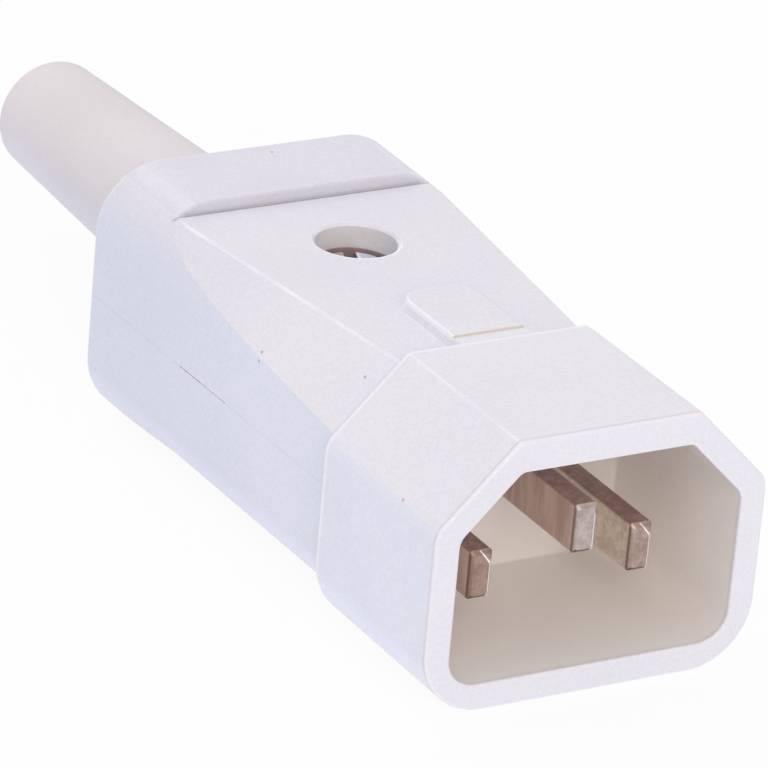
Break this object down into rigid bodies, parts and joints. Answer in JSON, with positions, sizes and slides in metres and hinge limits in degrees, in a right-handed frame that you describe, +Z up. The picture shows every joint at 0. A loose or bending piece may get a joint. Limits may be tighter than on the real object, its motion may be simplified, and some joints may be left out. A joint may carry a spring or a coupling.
{
  "type": "iec connector plug",
  "caption": "White in-line appliance plug: hooded socket with flat blades, two-part handle held by a sunk screw, and a soft tapered bend-relief sleeve for the cord.",
  "frame": {"origin": "centre of the socket's mouth, in the plane of the shroud's rim", "axes": "+Y along the plug from the mating face to the sleeve's end, +Z up (earth blade side), +X across; the mating face looks along -Y"},
  "size_m": [0.0286, 0.0915, 0.0218],
  "materials": {
    "housing_plastic": "satin moulded",
    "shell_plastic": "fine matt moulded",
    "sleeve_rubber": "soft matt",
    "insulator_plastic": "moulded",
    "contact_brass": "dull nickel plate",
    "nut_brass": "plain",
    "screw_steel": "zinc plated"
  },
  "bodies": {
    "root": {"front_housing": "housing_plastic", "upper_shell": "shell_plastic", "lower_shell": "shell_plastic", "bend_relief_sleeve": "sleeve_rubber", "pin_retainer": "insulator_plastic", "cord_clamp_bar": "insulator_plastic", "cover_screw": "screw_steel", "cover_nut": "nut_brass", "line_pin": "contact_brass", "neutral_pin": "contact_brass", "earth_pin": "contact_brass", "line_terminal_screw": "screw_steel", "line_pressure_plate": "nut_brass", "neutral_terminal_screw": "screw_steel", "neutral_pressure_plate": "nut_brass", "earth_terminal_screw": "screw_steel", "earth_pressure_plate": "nut_brass", "left_clamp_screw": "screw_steel", "left_clamp_nut": "nut_brass", "right_clamp_screw": "screw_steel", "right_clamp_nut": "nut_brass"}
  },
  "joints": []
}
